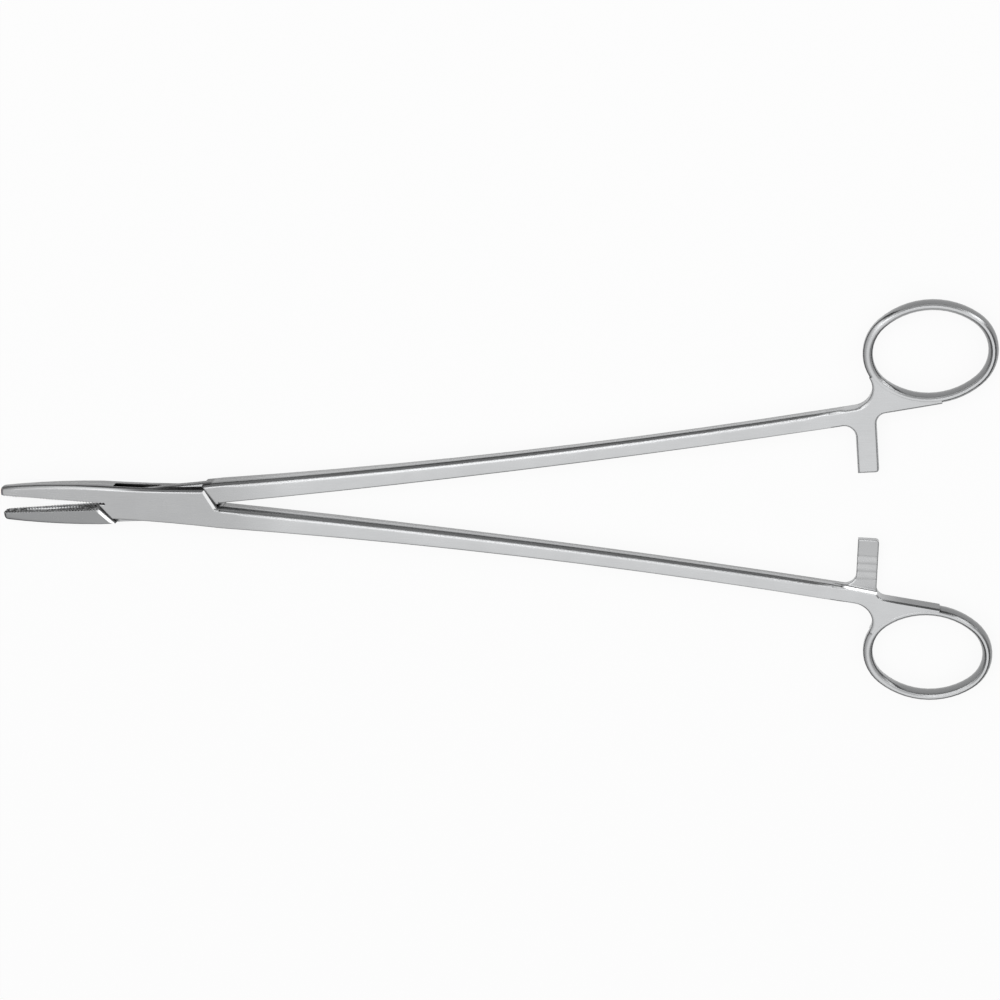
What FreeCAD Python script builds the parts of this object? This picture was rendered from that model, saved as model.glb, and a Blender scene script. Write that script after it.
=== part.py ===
import FreeCAD, Part
import math
import os
import Sketcher

# Long box-lock needle holder, lying on its back.
# +X runs along the instrument from the pivot to the finger rings, +Y across it, +Z out of its front face.
# The origin is on the pivot's axis, in the plane of the box's back face.
# Each half is modelled closed, with its jaw face on Y = 0 and its middle plane on Z = 0.
# It is then turned open about the pivot and lifted, so that the box's back face lies on Z = 0.

SIZES = [
    ("half_opening", 2.9, "angle that each half stands open, degrees"),
    ("jaw_reach", 45.9, "pivot to jaw tip"),
    ("jaw_face_gap", 0.06, "gap between the closed jaw faces"),
    ("tip_height", 2.5, "one jaw at its tip, across the instrument"),
    ("tip_thickness", 3.3, "jaw tip, front to back"),
    ("tip_nose_radius", 1.15, "rounding round the end of the tip"),
    ("tip_easing", 0.6, "easing of the jaw face's corner at the tip"),
    ("jaw_root_height", 4.5, "one jaw where it meets the box"),
    ("jaw_bulge", 0.42, "jaw's outer side outside the straight line between its ends"),
    ("jaw_edge_radius", 1.4, "rounding of the jaws' outer edges"),
    ("box_thickness", 6.7, "box, front face to back face"),
    ("box_waist", 0.3, "box's sides inside the straight line between their ends"),
    ("box_edge_radius", 0.8, "rounding of the box's long edges"),
    ("front_joint_reach", 17.5, "pivot to the front shoulders, on the centre line"),
    ("front_joint_angle", 47.0, "slant of the front shoulders, degrees"),
    ("rear_joint_reach", 16.05, "pivot to the rear shoulders, on the centre line"),
    ("rear_joint_angle", 59.0, "slant of the rear shoulders, degrees"),
    ("shoulder_gap", 0.08, "gap at the shoulders with the jaws closed"),
    ("shoulder_chamfer", 0.6, "chamfer on each half's leading shoulder"),
    ("shoulder_edge", 0.2, "chamfer on each half's trailing shoulder"),
    ("tang_thickness", 2.5, "tang that passes through the box"),
    ("tang_side_gap", 0.04, "running gap on each side of the tang"),
    ("pin_diameter", 3.6, "rivet pin"),
    ("pin_head_diameter", 4.8, "countersunk head of the rivet pin"),
    ("pin_head_height", 0.7, "height of the rivet pin's head"),
    ("pin_gap", 0.03, "running gap round the pin in the tang"),
    ("shank_heel_reach", 17.0, "pivot to the start of the shanks"),
    ("shank_length", 164.0, "shank along the instrument"),
    ("shank_heel_offset", 2.77, "centre line to the middle of a shank at its start"),
    ("shank_spread", 11.69, "outward run of a shank's middle from its start to its end"),
    ("shank_bow", 1.5, "shank's middle inside the straight line between its ends"),
    ("shank_heel_height", 5.4, "shank at its start, across the instrument"),
    ("shank_end_height", 4.1, "shank at its end, across the instrument"),
    ("shank_end_thickness", 4.3, "shank at its end, front to back"),
    ("shank_end_radius", 0.55, "rounding of the shank's edges at its end"),
    ("shank_softness", 0.45, "extra rounding of the shank's edges half way along"),
    ("bar_inset", 8.85, "end of the shank to the middle of the ratchet bar, along the instrument"),
    ("ring_inset", 25.55, "end of the shank to the ring's centre, along the instrument"),
    ("ring_rise", 16.08, "end of the shank to the ring's centre, across the instrument"),
    ("ring_half_length", 15.4, "ring's centre to the middle of its wire, along the instrument"),
    ("ring_half_width", 12.1, "ring's centre to the middle of its wire, across the instrument"),
    ("ring_end_radius", 10.3, "bend of the ring's wire at its two ends"),
    ("ring_wall", 2.55, "ring's wire, inside to outside"),
    ("ring_thickness", 4.5, "ring's wire, front to back"),
    ("bar_width", 5.35, "ratchet bar, along the instrument"),
    ("bar_overreach", 0.05, "ratchet bar past the centre line with the jaws closed"),
    ("bar_gap", 0.1, "gap between the two ratchet bars, front to back"),
    ("bar_corner_radius", 0.9, "rounding of the bar's tip on the ring side"),
    ("bar_step_inset", 0.6, "bar's recess into the inner side of the junction"),
    ("yoke_chamfer", 0.45, "chamfer on the junction's edges"),
    ("bar_fillet", 3.0, "fillet between the shank and the bar"),
    ("ring_fillet", 2.6, "fillet between the bar and the web that runs on to the ring"),
    ("web_lean", 7.0, "slant of the web's inner side, which touches the ring, degrees"),
    ("shank_fillet", 5.3, "fillet between the shank and the ring"),
    ("tooth_pitch", 2.15, "spacing of the ratchet teeth"),
    ("tooth_depth", 0.6, "depth of the ratchet teeth"),
    ("tooth_count", 4, "number of ratchet teeth on a bar"),
    ("tooth_lead", 4.4, "plain tip of the bar before the first tooth"),
    ("serration_length", 27.5, "serrated part of the jaw faces, from the tip"),
    ("serration_pitch", 0.86, "one groove to the next, along the jaw"),
    ("serration_depth", 0.3, "depth of the grooves"),
    ("serration_lean", 56.0, "angle of both sets of grooves to the jaw, degrees"),
    ("serration_relief", 0.01, "points of the serrations below the plain face"),
    ("face_groove_start", 5.0, "tip to the start of the long groove in the jaw face"),
    ("face_groove_length", 16.2, "long groove in the jaw face"),
    ("face_groove_width", 1.4, "long groove in the jaw face at its widest"),
]
JAW_STATIONS = 6
BOX_STATIONS = 6
SHANK_STATIONS = 11
RING_SIDES = 16

doc = FreeCAD.newDocument("NeedleHolder")
sheet = doc.addObject("Spreadsheet::Sheet", "Sizes")
for row, (alias, value, meaning) in enumerate(SIZES, start=1):
    sheet.set(f"A{row}", meaning)
    sheet.set(f"B{row}", str(value))
    sheet.setAlias(f"B{row}", alias)
doc.recompute()


def size(alias):
    """A driving dimension's value, read from the sheet."""
    return float(sheet.get(alias))


def ref(formula):
    """An expression with the sheet's name put before each alias in braces."""
    return formula.replace("{", "Sizes.").replace("}", "")


def bind(thing, **formulas):
    for name, formula in formulas.items():
        thing.setExpression(name.replace("__", "."), ref(formula))
    return thing


def worth(formula):
    """What a formula comes to with the sizes as they are."""
    return float(sheet.evalExpression(ref(formula)))


def fix_point(sketch, geometry, vertex, across, up):
    """Hold one vertex of a sketch's geometry at two formulas from the sheet."""
    for kind, formula in (("DistanceX", across), ("DistanceY", up)):
        index = sketch.addConstraint(Sketcher.Constraint(kind, geometry, vertex, worth(formula)))
        sketch.setExpression(f"Constraints[{index}]", ref(formula))


def polygon(name, corners):
    """A closed outline of straight lines through corners given as formulas."""
    sketch = doc.addObject("Sketcher::SketchObject", name)
    count = len(corners)
    places = [FreeCAD.Vector(worth(across), worth(up), 0) for across, up in corners]
    for start, end in zip(places, places[1:] + places[:1]):
        sketch.addGeometry(Part.LineSegment(start, end))
    for i, (across, up) in enumerate(corners):
        sketch.addConstraint(Sketcher.Constraint("Coincident", i, 2, (i + 1) % count, 1))
        fix_point(sketch, i, 1, across, up)
    return sketch


def rounded_rectangle(name, width, height, radius):
    """A rounded rectangle about the sketch's origin, width across by height up."""
    sketch = doc.addObject("Sketcher::SketchObject", name)
    corners = [(1, 1, 0), (-1, 1, 90), (-1, -1, 180), (1, -1, 270)]
    middles = [
        (f"{right} * (({width}) / 2 - ({radius}))", f"{top} * (({height}) / 2 - ({radius}))")
        for right, top, start in corners
    ]
    for (right, top, start), (across, up) in zip(corners, middles):
        centre = FreeCAD.Vector(worth(across), worth(up), 0)
        circle = Part.Circle(centre, FreeCAD.Vector(0, 0, 1), worth(radius))
        sketch.addGeometry(Part.ArcOfCircle(circle, math.radians(start), math.radians(start + 90)))
    for i in range(4):
        sketch.addGeometry(Part.LineSegment(sketch.getPoint(i, 2), sketch.getPoint((i + 1) % 4, 1)))
    for i, (across, up) in enumerate(middles):
        sketch.addConstraint(Sketcher.Constraint("Tangent", i, 2, 4 + i, 1))
        sketch.addConstraint(Sketcher.Constraint("Tangent", 4 + i, 2, (i + 1) % 4, 1))
        fix_point(sketch, i, 3, across, up)
    index = sketch.addConstraint(Sketcher.Constraint("Radius", 0, worth(radius)))
    sketch.setExpression(f"Constraints[{index}]", ref(radius))
    for i in range(1, 4):
        sketch.addConstraint(Sketcher.Constraint("Equal", 0, i))
    return sketch


ACROSS = FreeCAD.Rotation(FreeCAD.Vector(1, 1, 1), 120)


def station(name, reach, middle, width, height, radius, lean=0):
    """A rounded rectangle that stands across the instrument, with its middle at two formulas."""
    sketch = rounded_rectangle(name, width, height, radius)
    turn = FreeCAD.Rotation(FreeCAD.Vector(0, 0, 1), lean)
    sketch.Placement = FreeCAD.Placement(FreeCAD.Vector(), turn * ACROSS)
    return bind(sketch, Placement__Base__x=reach, Placement__Base__y=middle)


def loft(name, stations):
    body = doc.addObject("Part::Loft", name)
    body.Sections = stations
    body.Solid = True
    body.Ruled = True
    return body


def prism(name, outline, thickness, direction=(0, 0, 1)):
    """An outline extruded by half its thickness to each side."""
    body = doc.addObject("Part::Extrusion", name)
    body.Base = outline
    body.DirMode = "Custom"
    body.Dir = FreeCAD.Vector(*direction)
    body.Solid = True
    return bind(body, LengthFwd=f"({thickness}) / 2", LengthRev=f"({thickness}) / 2")


def join(name, *pieces):
    body = doc.addObject("Part::MultiFuse", name)
    body.Shapes = list(pieces)
    return body


def shared(name, *pieces):
    body = doc.addObject("Part::MultiCommon", name)
    body.Shapes = list(pieces)
    return body


def placed(name, piece, axis, turn, lift=0):
    """The same piece again, turned about an axis through the pivot and lifted."""
    body = doc.addObject("Part::Compound", name)
    body.Links = [piece]
    body.Placement = FreeCAD.Placement(FreeCAD.Vector(0, 0, lift), FreeCAD.Rotation(axis, turn))
    return body


def cut(name, base, tool):
    body = doc.addObject("Part::Cut", name)
    body.Base = base
    body.Tool = tool
    return body


def soften(name, base, kind, radius, wanted):
    """Fillet or chamfer the edges of a solid that pass a test."""
    doc.recompute()
    body = doc.addObject(f"Part::{kind}", name)
    body.Base = base
    body.Edges = [(i, radius, radius) for i, edge in enumerate(base.Shape.Edges, start=1) if wanted(edge)]
    return body


def shares(count):
    """Even shares of a run from its start to its end, each with what is left of it."""
    return [(index, index / (count - 1), 1 - index / (count - 1)) for index in range(count)]


# Head: both jaws and the box as one closed lump, before it is shared out between the halves
jaw_stations = [
    station(
        f"JawStation{index}",
        f"-{{jaw_reach}} * {rest} - {{front_joint_reach}} * {share}", "0",
        f"2 * {{tip_height}} * {rest} + 2 * {{jaw_root_height}} * {share}"
        f" + 8 * {{jaw_bulge}} * {share * rest}",
        f"{{tip_thickness}} * {rest} + {{box_thickness}} * {share}",
        f"{{jaw_edge_radius}} * {rest} + {{box_edge_radius}} * {share}",
    )
    for index, share, rest in shares(JAW_STATIONS)
]
jaws_square = loft("JawsSquare", jaw_stations)
jaws = soften(
    "Jaws", jaws_square, "Fillet", size("tip_nose_radius"),
    lambda edge: abs(edge.BoundBox.XMax + size("jaw_reach")) < 0.01,
)
box_stations = [
    station(
        f"BoxStation{index}",
        f"-{{front_joint_reach}} * {rest} + {{shank_heel_reach}} * {share}", "0",
        f"2 * {{jaw_root_height}} * {rest} + (2 * {{shank_heel_offset}} + {{shank_heel_height}}) * {share}"
        f" - 8 * {{box_waist}} * {share * rest}",
        "{box_thickness}", "{box_edge_radius}",
    )
    for index, share, rest in shares(BOX_STATIONS)
]
box_block = loft("BoxBlock", box_stations)
head = join("Head", jaws, box_block)

# Plan lines that share the head out, as formulas of x and y
WIDE = "2 * {jaw_root_height}"
FRONT_RUN = f"{WIDE} / tan({{front_joint_angle}})"
REAR_RUN = f"{WIDE} / tan({{rear_joint_angle}})"
FRONT_STEP = "{shoulder_gap} / sin({front_joint_angle})"
REAR_STEP = "{shoulder_gap} / sin({rear_joint_angle})"
HEEL = "{shank_heel_reach}"
UP = "{jaw_face_gap} / 2"


def face_end(side):
    """Plan corners from beyond the tip to the jaw face on one side of the centre line, eased at the tip."""
    near = 1 - math.sqrt(0.5)
    return [
        (f"-{{jaw_reach}} + {along} * {{tip_easing}}", f"{side} * ({UP} + {across} * {{tip_easing}})")
        for along, across in [(-1, 1), (0, 1), (near, near), (1, 0)]
    ]


box_half_plan = polygon("BoxHalfPlan", [
    *face_end(1),
    ("-{front_joint_reach}", UP),
    (f"-{{front_joint_reach}} + {FRONT_RUN}", f"-{WIDE}"),
    (HEEL, f"-{WIDE}"),
    (HEEL, f"-{UP}"),
    ("{rear_joint_reach}", f"-{UP}"),
    (f"{{rear_joint_reach}} - {REAR_RUN}", WIDE),
    ("-{jaw_reach} - {tip_easing}", WIDE),
])
lower_jaw_plan = polygon("LowerJawPlan", [
    *face_end(-1),
    (f"-{{front_joint_reach}} - {FRONT_STEP}", f"-{UP}"),
    (f"-{{front_joint_reach}} - {FRONT_STEP} + {FRONT_RUN}", f"-{WIDE}"),
    ("-{jaw_reach} - {tip_easing}", f"-{WIDE}"),
])
upper_heel_plan = polygon("UpperHeelPlan", [
    (HEEL, UP),
    (f"{{rear_joint_reach}} + {REAR_STEP}", UP),
    (f"{{rear_joint_reach}} + {REAR_STEP} - {REAR_RUN}", WIDE),
    (HEEL, WIDE),
])
tang_plan = polygon("TangPlan", [
    *face_end(-1),
    (f"-{{front_joint_reach}} + {FRONT_STEP}", f"-{UP}"),
    (f"-{{front_joint_reach}} + {FRONT_STEP} + {FRONT_RUN}", WIDE),
    (HEEL, WIDE),
    (HEEL, UP),
    (f"{{rear_joint_reach}} - {REAR_STEP}", UP),
    (f"{{rear_joint_reach}} - {REAR_STEP} - {REAR_RUN}", f"-{WIDE}"),
    ("-{jaw_reach} - {tip_easing}", f"-{WIDE}"),
])
slot_plan = polygon("SlotPlan", [
    ("-2 * {jaw_reach}", "0"),
    ("-{front_joint_reach}", "0"),
    (f"-{{front_joint_reach}} + {FRONT_RUN}", WIDE),
    (HEEL, WIDE),
    (HEEL, "0"),
    ("{rear_joint_reach}", "0"),
    (f"{{rear_joint_reach}} - {REAR_RUN}", f"-{WIDE}"),
    ("-2 * {jaw_reach}", f"-{WIDE}"),
])


def slanted(edge):
    """Whether an edge of a box-thick prism lies on its front or back and slants across the head in plan."""
    start, end = (vertex.Point for vertex in edge.Vertexes)
    run = end - start
    return abs(run.z) < 0.001 and abs(run.x) > 0.001 and abs(run.y) > size("jaw_root_height")


def at_front(edge):
    return slanted(edge) and edge.CenterOfMass.x < 0


def at_rear(edge):
    return slanted(edge) and edge.CenterOfMass.x > 0


LEADING = size("shoulder_chamfer")
TRAILING = size("shoulder_edge")
box_square = prism("BoxHalfSquare", box_half_plan, "{box_thickness}")
box_trailing = soften("BoxHalfTrailing", box_square, "Chamfer", TRAILING, at_front)
box_zone = soften("BoxHalfZone", box_trailing, "Chamfer", LEADING, at_rear)
lower_jaw_square = prism("LowerJawSquare", lower_jaw_plan, "{box_thickness}")
lower_jaw_zone = soften("LowerJawZone", lower_jaw_square, "Chamfer", LEADING, at_front)
upper_heel_square = prism("UpperHeelSquare", upper_heel_plan, "{box_thickness}")
upper_heel_zone = soften("UpperHeelZone", upper_heel_square, "Chamfer", TRAILING, at_rear)
tang_zone = prism("TangZone", tang_plan, "{tang_thickness}")
slot_zone = prism("SlotZone", slot_plan, "{tang_thickness} + 2 * {tang_side_gap}")


# Rivet pin: a plain shaft with a countersunk head at each end, ground flush with the box
def cylinder(name, radius, height):
    body = doc.addObject("Part::Cylinder", name)
    return bind(body, Radius=radius, Height=height, Placement__Base__z=f"-({height}) / 2")


def pin_head(name, side):
    """A cone that widens outwards to the box's face on one side."""
    body = doc.addObject("Part::Cone", name)
    body.Placement = FreeCAD.Placement(
        FreeCAD.Vector(), FreeCAD.Rotation(FreeCAD.Vector(1, 0, 0), 0 if side > 0 else 180)
    )
    return bind(
        body, Radius1="{pin_diameter} / 2", Radius2="{pin_head_diameter} / 2", Height="{pin_head_height}",
        Placement__Base__z=f"{side} * ({{box_thickness}} / 2 - {{pin_head_height}})",
    )


pin = join(
    "PinSolid", cylinder("PinShaft", "{pin_diameter} / 2", "{box_thickness}"),
    pin_head("PinFrontHead", 1), pin_head("PinBackHead", -1),
)
tang_bore = cylinder("TangBore", "{pin_diameter} / 2 + {pin_gap}", "{box_thickness}")


# Jaw faces: a long pointed groove, as a sharp-edged wheel would grind it
def face_groove(name, side):
    """The wheel, as two cones back to back, standing over the jaw face on one side of the centre line."""
    depth = "{face_groove_width} / 2"
    radius = f"(({{face_groove_length}} / 2)^2 + ({depth})^2) / (2 * {depth})"
    cones = []
    for turn in (0, 180):
        cone = doc.addObject("Part::Cone", f"{name}Cone{turn}")
        cone.Placement = FreeCAD.Placement(
            FreeCAD.Vector(), FreeCAD.Rotation(FreeCAD.Vector(1, 0, 0), turn)
        )
        cones.append(bind(
            cone, Radius1=radius, Radius2=f"{radius} - {{tip_thickness}} / 2", Height="{tip_thickness} / 2",
            Placement__Base__x="-{jaw_reach} + {face_groove_start} + {face_groove_length} / 2",
            Placement__Base__y=f"{side} * ({radius} - {depth} - {{jaw_face_gap}} / 2)",
        ))
    return join(name, *cones)


# Jaw serrations: two sets of sharp grooves that cross and leave rows of small pyramids
def serration_comb(name, side, lean):
    """A comb with one ridge for each groove of a set, over the jaw face on one side of the centre line."""
    crossing = size("serration_pitch")
    spread = size("box_thickness") / math.tan(math.radians(abs(lean)))
    grooves = math.ceil((size("serration_length") + spread) / crossing)
    spacing = crossing * math.sin(math.radians(abs(lean)))
    ridge = size("jaw_face_gap") / 2 + size("serration_depth")
    valley = size("jaw_face_gap") / 2 + size("serration_relief")
    zigzag = [
        FreeCAD.Vector((index / 2 - grooves / 2) * spacing, side * (ridge if index % 2 else valley), 0)
        for index in range(2 * grooves + 1)
    ]
    back = [FreeCAD.Vector(corner.x, -side * ridge, 0) for corner in (zigzag[-1], zigzag[0])]
    outline = feature(f"{name}Outline", Part.makePolygon(zigzag + back + zigzag[:1]))
    comb = prism(name, outline, "4 * {box_thickness}")
    turn = FreeCAD.Rotation(FreeCAD.Vector(0, 1, 0), 90 - lean)
    comb.Placement = FreeCAD.Placement(FreeCAD.Vector(), turn)
    return bind(comb, Placement__Base__x="-{jaw_reach} + {serration_length} / 2 - {box_thickness} / 4")


def serrated(name, head, side):
    """A head with both sets of grooves cut in its jaw face."""
    once = cut(f"{name}Ruled", head, serration_comb(f"{name}CombRising", side, size("serration_lean")))
    return cut(name, once, serration_comb(f"{name}CombFalling", side, -size("serration_lean")))


# Handle: shank, finger ring and ratchet bar of the upper half; the lower half's is the same, turned over
END_X = "({shank_heel_reach} + {shank_length})"
END_Y = "({shank_heel_offset} + {shank_spread})"
SLOPE = "(({shank_spread} + 4 * {shank_bow}) / {shank_length})"
slope = (size("shank_spread") + 4 * size("shank_bow")) / size("shank_length")
end_lean = math.degrees(math.atan(slope))
shank_stations = [
    station(
        f"ShankStation{index}",
        f"{{shank_heel_reach}} + {{shank_length}} * {share}",
        f"{{shank_heel_offset}} + {{shank_spread}} * {share} - 4 * {{shank_bow}} * {share * rest}",
        f"{{shank_end_height}} + ({{shank_heel_height}} - {{shank_end_height}}) * {rest ** 2}",
        f"{{shank_end_thickness}} + ({{box_thickness}} - {{shank_end_thickness}}) * {rest ** 2}",
        f"{{box_edge_radius}} * {rest} + {{shank_end_radius}} * {share}"
        f" + 4 * {{shank_softness}} * {share * rest}",
        end_lean * share,
    )
    for index, share, rest in shares(SHANK_STATIONS)
]
shank = loft("Shank", shank_stations)


def arc(centre, radius, start, end):
    """A plan arc about a centre, from one angle to another in degrees, drawn either way round."""
    at = [math.radians(start), math.radians((start + end) / 2), math.radians(end)]
    points = [centre + radius * FreeCAD.Vector(math.cos(a), math.sin(a), 0) for a in at]
    return Part.Arc(*points).toShape()


def line(start, end):
    return Part.LineSegment(start, end).toShape()


def feature(name, shape):
    body = doc.addObject("Part::Feature", name)
    body.Shape = shape
    return body


def on(centre, radius, angle):
    return centre + radius * FreeCAD.Vector(math.cos(math.radians(angle)), math.sin(math.radians(angle)), 0)


def bearing(start, end):
    """The plan angle from one point to another, in degrees from 0 to 360."""
    return math.degrees(math.atan2(end.y - start.y, end.x - start.x)) % 360


# Finger ring: an oval of four arcs, swept with an oval section
shank_end = FreeCAD.Vector(
    size("shank_heel_reach") + size("shank_length"), size("shank_heel_offset") + size("shank_spread"), 0
)
ring_centre = shank_end + FreeCAD.Vector(size("ring_inset"), size("ring_rise"), 0)
half_length = size("ring_half_length")
half_width = size("ring_half_width")
end_radius = size("ring_end_radius")
end_shift = half_length - end_radius
flank_radius = (end_shift ** 2 + half_width ** 2 - end_radius ** 2) / (2 * (half_width - end_radius))
flank_shift = flank_radius - half_width
joint_angle = math.degrees(math.atan2(flank_shift, end_shift))
right_end = ring_centre + FreeCAD.Vector(end_shift, 0, 0)
left_end = ring_centre - FreeCAD.Vector(end_shift, 0, 0)
top_flank = ring_centre - FreeCAD.Vector(0, flank_shift, 0)
bottom_flank = ring_centre + FreeCAD.Vector(0, flank_shift, 0)
ring_path = feature("RingPath", Part.Wire([
    arc(right_end, end_radius, 0, joint_angle),
    arc(top_flank, flank_radius, joint_angle, 180 - joint_angle),
    arc(left_end, end_radius, 180 - joint_angle, 180 + joint_angle),
    arc(bottom_flank, flank_radius, 180 + joint_angle, 360 - joint_angle),
    arc(right_end, end_radius, 360 - joint_angle, 360),
]))
ring_turns = [2 * math.pi * (index + 0.5) / RING_SIDES for index in range(RING_SIDES)]
ring_section = polygon("RingSection", [
    (f"{{ring_wall}} / 2 * {math.cos(turn)}", f"{{ring_thickness}} / 2 * {math.sin(turn)}")
    for turn in ring_turns
])
ring_section.Placement = FreeCAD.Placement(FreeCAD.Vector(), FreeCAD.Rotation(FreeCAD.Vector(1, 0, 0), 90))
bind(
    ring_section,
    Placement__Base__x=f"{END_X} + {{ring_inset}} + {{ring_half_length}}",
    Placement__Base__y=f"{END_Y} + {{ring_rise}}",
)
ring = doc.addObject("Part::Sweep", "Ring")
ring.Sections = [ring_section]
ring.Spine = (ring_path, [f"Edge{i}" for i in range(1, 6)])
ring.Solid = True

# Yoke: the flat junction where the shank runs into the ring and the ratchet bar, drawn in plan
along = FreeCAD.Vector(1, slope, 0).normalize()
outward = FreeCAD.Vector(-along.y, along.x, 0)
half_height = outward * size("shank_end_height") / 2
outer_wall = end_radius + size("ring_wall") / 2
outer_flank = flank_radius + size("ring_wall") / 2


def circle_beside(line_point, side, radius, centre, reach):
    """Centre of the circle that touches a line along the shank and keeps a reach from another centre."""
    start = line_point + side * radius
    offset = start - centre
    half = offset.dot(along)
    return start - along * (half + math.sqrt(half ** 2 - offset.dot(offset) + reach ** 2))


shank_fillet = size("shank_fillet")
outer_centre = circle_beside(
    shank_end + half_height, outward, shank_fillet, left_end, outer_wall + shank_fillet,
)
outer_touch = outer_centre - outward * shank_fillet
ring_touch = bearing(left_end, outer_centre)

bar_right = shank_end.x + size("bar_inset") + size("bar_width") / 2
bar_left = bar_right - size("bar_width")
bar_tip = -size("bar_overreach")
ring_fillet = size("ring_fillet")
web_lean = size("web_lean")
flank_touch = 270 + web_lean
web_touch = on(bottom_flank, outer_flank, flank_touch)
web_x = bar_right + ring_fillet
web_fall = (web_touch.x - web_x) * math.tan(math.radians(web_lean))
web_y = web_touch.y - web_fall - ring_fillet / math.cos(math.radians(web_lean))
web_centre = FreeCAD.Vector(web_x, web_y, 0)

bar_fillet = size("bar_fillet")
inner_x = bar_left - bar_fillet
inner_line = shank_end - half_height
inner_y = inner_line.y + slope * (inner_x - inner_line.x) - bar_fillet / along.x
inner_centre = FreeCAD.Vector(inner_x, inner_y, 0)
inner_touch = inner_centre + outward * bar_fillet

corner = size("bar_corner_radius")
corner_centre = FreeCAD.Vector(bar_right - corner, bar_tip + corner, 0)


# Each edge of the outline, and whether its front and back are bevelled
yoke_outline = [
    (line(shank_end + half_height, outer_touch), True),
    (arc(outer_centre, shank_fillet, 270 + end_lean, ring_touch + 180), True),
    (line(on(left_end, outer_wall, ring_touch), on(left_end, end_radius, ring_touch)), False),
    (arc(left_end, end_radius, ring_touch, 180 + joint_angle), False),
    (arc(bottom_flank, flank_radius, 180 + joint_angle, flank_touch), False),
    (line(on(bottom_flank, flank_radius, flank_touch), on(bottom_flank, outer_flank, flank_touch)), False),
    (line(web_touch, on(web_centre, ring_fillet, 90 + web_lean)), True),
    (arc(web_centre, ring_fillet, 90 + web_lean, 180), True),
    (line(on(web_centre, ring_fillet, 180), on(corner_centre, corner, 0)), True),
    (arc(corner_centre, corner, 0, -90), True),
    (line(FreeCAD.Vector(corner_centre.x, bar_tip, 0), FreeCAD.Vector(bar_left, bar_tip, 0)), True),
    (line(FreeCAD.Vector(bar_left, bar_tip, 0), FreeCAD.Vector(bar_left, inner_y, 0)), True),
    (arc(inner_centre, bar_fillet, 0, 90 + end_lean), True),
    (line(inner_touch, shank_end - half_height), True),
    (line(shank_end - half_height, shank_end + half_height), False),
]
yoke_plan = feature("YokePlan", Part.Wire([edge for edge, bevelled in yoke_outline]))
yoke_square = prism("YokeSquare", yoke_plan, "{shank_end_thickness}")
bevel_middles = [edge.CenterOfMass for edge, bevelled in yoke_outline if bevelled]


def on_bevel(edge):
    """Whether an edge of the square yoke lies over one of the bevelled lines of its plan."""
    middle = FreeCAD.Vector(edge.CenterOfMass.x, edge.CenterOfMass.y, 0)
    return any(middle.isEqual(bevelled, 0.001) for bevelled in bevel_middles)


yoke_bevelled = soften("YokeBevelled", yoke_square, "Chamfer", size("yoke_chamfer"), on_bevel)

# Ratchet bar: the front half of the yoke's thickness, with saw teeth on its back
INNER = f"({END_Y} - {{shank_end_height}} / 2)"
BAR = f"({END_X} + {{bar_inset}})"
STEP_START = f"({BAR} - {{bar_width}} / 2 - 2 * {{bar_fillet}})"
STEP_END = f"({BAR} + {{bar_width}} / 2 + {{ring_fillet}} / 2)"
recess_plan = polygon("RecessPlan", [
    (STEP_START, f"{INNER} + {SLOPE} * ({STEP_START} - {END_X})"),
    (STEP_END, f"{INNER} + {SLOPE} * ({STEP_END} - {END_X}) + {{bar_step_inset}}"),
    (STEP_END, "-2 * {bar_width}"),
    (STEP_START, "-2 * {bar_width}"),
])
recess = doc.addObject("Part::Extrusion", "Recess")
recess.Base = recess_plan
recess.DirMode = "Custom"
recess.Dir = FreeCAD.Vector(0, 0, 1)
recess.Solid = True
bind(recess, LengthFwd="{bar_gap} / 2", LengthRev="{shank_end_thickness}")

TIP = "-{bar_overreach} + {tooth_lead}"
CREST = "{bar_gap} / 2"
ROOT = "{bar_gap} / 2 + {tooth_depth}"
teeth = int(size("tooth_count"))
saw = [(TIP, "-{bar_gap}")]
for tooth in range(teeth):
    saw.append((f"{TIP} + {tooth} * {{tooth_pitch}}", ROOT))
    saw.append((f"{TIP} + {tooth + 1} * {{tooth_pitch}}", CREST))
saw.append((f"{TIP} + {teeth} * {{tooth_pitch}}", "-{bar_gap}"))
saw_profile = polygon("ToothSaw", saw)
saw_profile.Placement = FreeCAD.Placement(FreeCAD.Vector(), ACROSS)
bind(saw_profile, Placement__Base__x=BAR)
saw_cutter = prism("ToothCutter", saw_profile, "{bar_width} + 2 * {bar_fillet}", (1, 0, 0))

yoke = cut("Yoke", cut("YokeRecessed", yoke_bevelled, recess), saw_cutter)
handle = join("Handle", shank, yoke, ring)
handle_over = placed("HandleTurnedOver", handle, FreeCAD.Vector(1, 0, 0), 180)

# Heads
box_head_blank = shared("BoxHeadBlank", head, box_zone)
box_head_slotted = cut("BoxHeadSlotted", box_head_blank, slot_zone)
box_head_bored = cut("BoxHeadBored", box_head_slotted, pin)
box_head_serrated = serrated("BoxHeadSerrated", box_head_bored, 1)
box_head = cut("BoxHead", box_head_serrated, face_groove("UpperFaceGroove", -1))
tang_head_zone = join("TangHeadZone", lower_jaw_zone, upper_heel_zone, tang_zone)
tang_head_blank = shared("TangHeadBlank", head, tang_head_zone)
tang_head_bored = cut("TangHeadBored", tang_head_blank, tang_bore)
tang_head_serrated = serrated("TangHeadSerrated", tang_head_bored, -1)
tang_head = cut("TangHead", tang_head_serrated, face_groove("LowerFaceGroove", 1))


# Finished pieces, opened about the pivot and lifted on to the box's back face
def finish(label, piece, turn):
    name = label.title().replace("_", "")
    body = placed(name, piece, FreeCAD.Vector(0, 0, 1), turn, size("box_thickness") / 2)
    body.Label = label
    return body


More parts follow.
